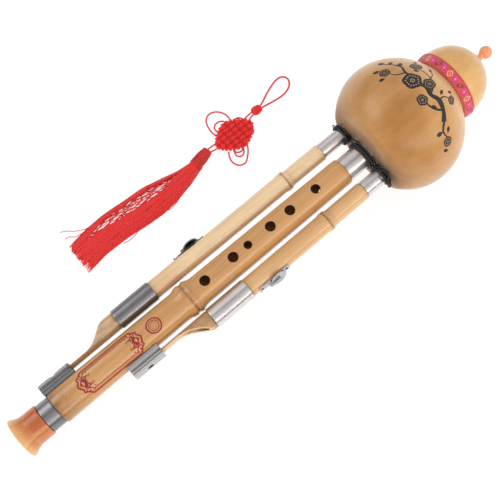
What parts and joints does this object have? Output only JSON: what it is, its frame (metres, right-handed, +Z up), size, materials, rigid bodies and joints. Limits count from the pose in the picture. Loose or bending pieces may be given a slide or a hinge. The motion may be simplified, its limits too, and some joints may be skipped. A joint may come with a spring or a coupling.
{
  "type": "gourd flute",
  "caption": "Free-reed gourd flute: a lacquered gourd wind chest with a fingered melody pipe, two slide-tuned drone pipes with switches, and a knotted red tassel.",
  "frame": {"origin": "on the table, under the middle of the flute's bounding box, tassel left out", "axes": "+X from the bell towards the mouthpiece, level; +Y to the left drone; +Z up from the table. The flute lies tilted by about 5.7 degrees, on the gourd and the bell's rim."},
  "size_m": [0.4476, 0.1711, 0.1008],
  "materials": {
    "gourd": "dried gourd, clear gloss lacquer",
    "bamboo_main": "bamboo, stained amber, gloss lacquer",
    "bamboo_left": "bamboo, pale, satin lacquer",
    "bamboo_right": "bamboo, light brown, satin lacquer",
    "silver": "bright plated metal",
    "dark_steel": "grey plated metal",
    "brass": "bare brass",
    "amber_plastic": "marbled amber plastic, polished",
    "orange_plastic": "orange plastic, polished",
    "black_cord": "tight glossy black cord",
    "ribbon": "woven ribbon, orange red ground",
    "wax": "brown wax",
    "rubber": "dark rubber",
    "red_cord": "red satin cord and rayon threads"
  },
  "bodies": {
    "gourd": {"gourd_shell": "gourd", "waist_ribbon": "ribbon", "mouthpiece": "orange_plastic", "wax_seal": "wax", "main_ferrule": "silver", "main_reed_tube": "brass", "main_reed_plate": "brass", "main_cord_winding": "black_cord", "left_ferrule": "silver", "left_reed_tube": "brass", "left_reed_plate": "brass", "left_cord_winding": "black_cord", "right_ferrule": "silver", "right_reed_tube": "brass", "right_reed_plate": "brass", "right_cord_winding": "black_cord", "tassel_hanging_loop": "red_cord", "tassel_button_knot": "red_cord", "tassel_knot": "red_cord", "tassel_ear_big": "red_cord", "tassel_ear_left": "red_cord", "tassel_ear_right": "red_cord", "tassel_ear_front": "red_cord", "tassel_upper_cord_left": "red_cord", "tassel_upper_cord_right": "red_cord", "tassel_lower_cord_left": "red_cord", "tassel_lower_cord_right": "red_cord", "tassel_head": "red_cord", "tassel_skirt": "red_cord"},
    "main_pipe": {"main_pipe": "bamboo_main", "foot_sleeve": "silver", "bell": "amber_plastic", "left_clip": "silver", "left_clip_pad": "rubber", "left_clip_screw": "dark_steel", "right_clip": "silver", "right_clip_pad": "rubber", "right_clip_screw": "dark_steel"},
    "left_drone": {"left_drone_pipe": "bamboo_left", "left_drone_sleeve": "silver", "left_drone_tail": "bamboo_left", "left_switch_plate": "dark_steel", "left_switch_screw_low": "dark_steel", "left_switch_screw_high": "dark_steel"},
    "left_switch": {"left_switch_knob": "silver", "left_switch_pad": "rubber"},
    "right_drone": {"right_drone_pipe": "bamboo_right", "right_drone_sleeve": "silver", "right_drone_tail": "bamboo_right", "right_switch_plate": "dark_steel", "right_switch_screw_low": "dark_steel", "right_switch_screw_high": "dark_steel"},
    "right_switch": {"right_switch_knob": "silver", "right_switch_pad": "rubber"}
  },
  "joints": [
    {"name": "main_pipe_tuning", "type": "slide", "parent": "gourd", "child": "main_pipe", "axis": [-0.9951, 0, -0.0992], "range_m": [0, 0.0045]},
    {"name": "left_drone_tuning", "type": "slide", "parent": "gourd", "child": "left_drone", "axis": [-0.9951, -0.0005, -0.0992], "range_m": [0, 0.004]},
    {"name": "left_switch_slide", "type": "slide", "parent": "left_drone", "child": "left_switch", "axis": [-0.9951, -0.0005, -0.0992], "range_m": [0, 0.007]},
    {"name": "right_drone_tuning", "type": "slide", "parent": "gourd", "child": "right_drone", "axis": [-0.995, -0.0066, -0.0992], "range_m": [0, 0.004]},
    {"name": "right_switch_slide", "type": "slide", "parent": "right_drone", "child": "right_switch", "axis": [-0.995, -0.0066, -0.0992], "range_m": [0, 0.007]}
  ]
}
